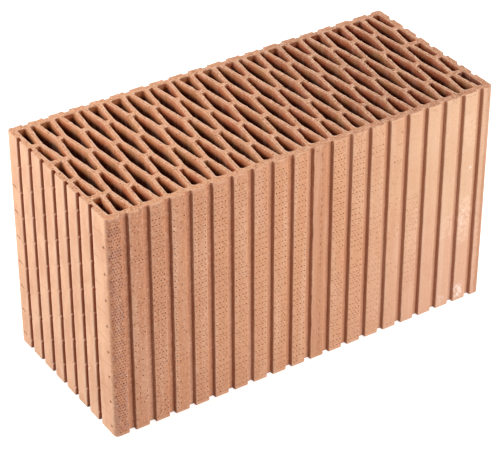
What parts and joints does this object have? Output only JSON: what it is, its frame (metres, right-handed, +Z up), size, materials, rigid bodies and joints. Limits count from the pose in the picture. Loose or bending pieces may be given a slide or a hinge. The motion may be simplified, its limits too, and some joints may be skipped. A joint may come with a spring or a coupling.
{
  "type": "hollow clay block",
  "caption": "Large fired clay wall block with lens-shaped cells running through its height and upright ridges on every side.",
  "frame": {"origin": "centre of the lower bed face, on the floor it stands on", "axes": "+X along the long ridged faces, +Y across the block from its front long face to its back one, +Z up along the cells"},
  "size_m": [0.44, 0.19, 0.249],
  "materials": {
    "fired_clay": "matte, porous, wire-cut beds"
  },
  "bodies": {
    "root": {"clay_block": "fired_clay"}
  },
  "joints": []
}
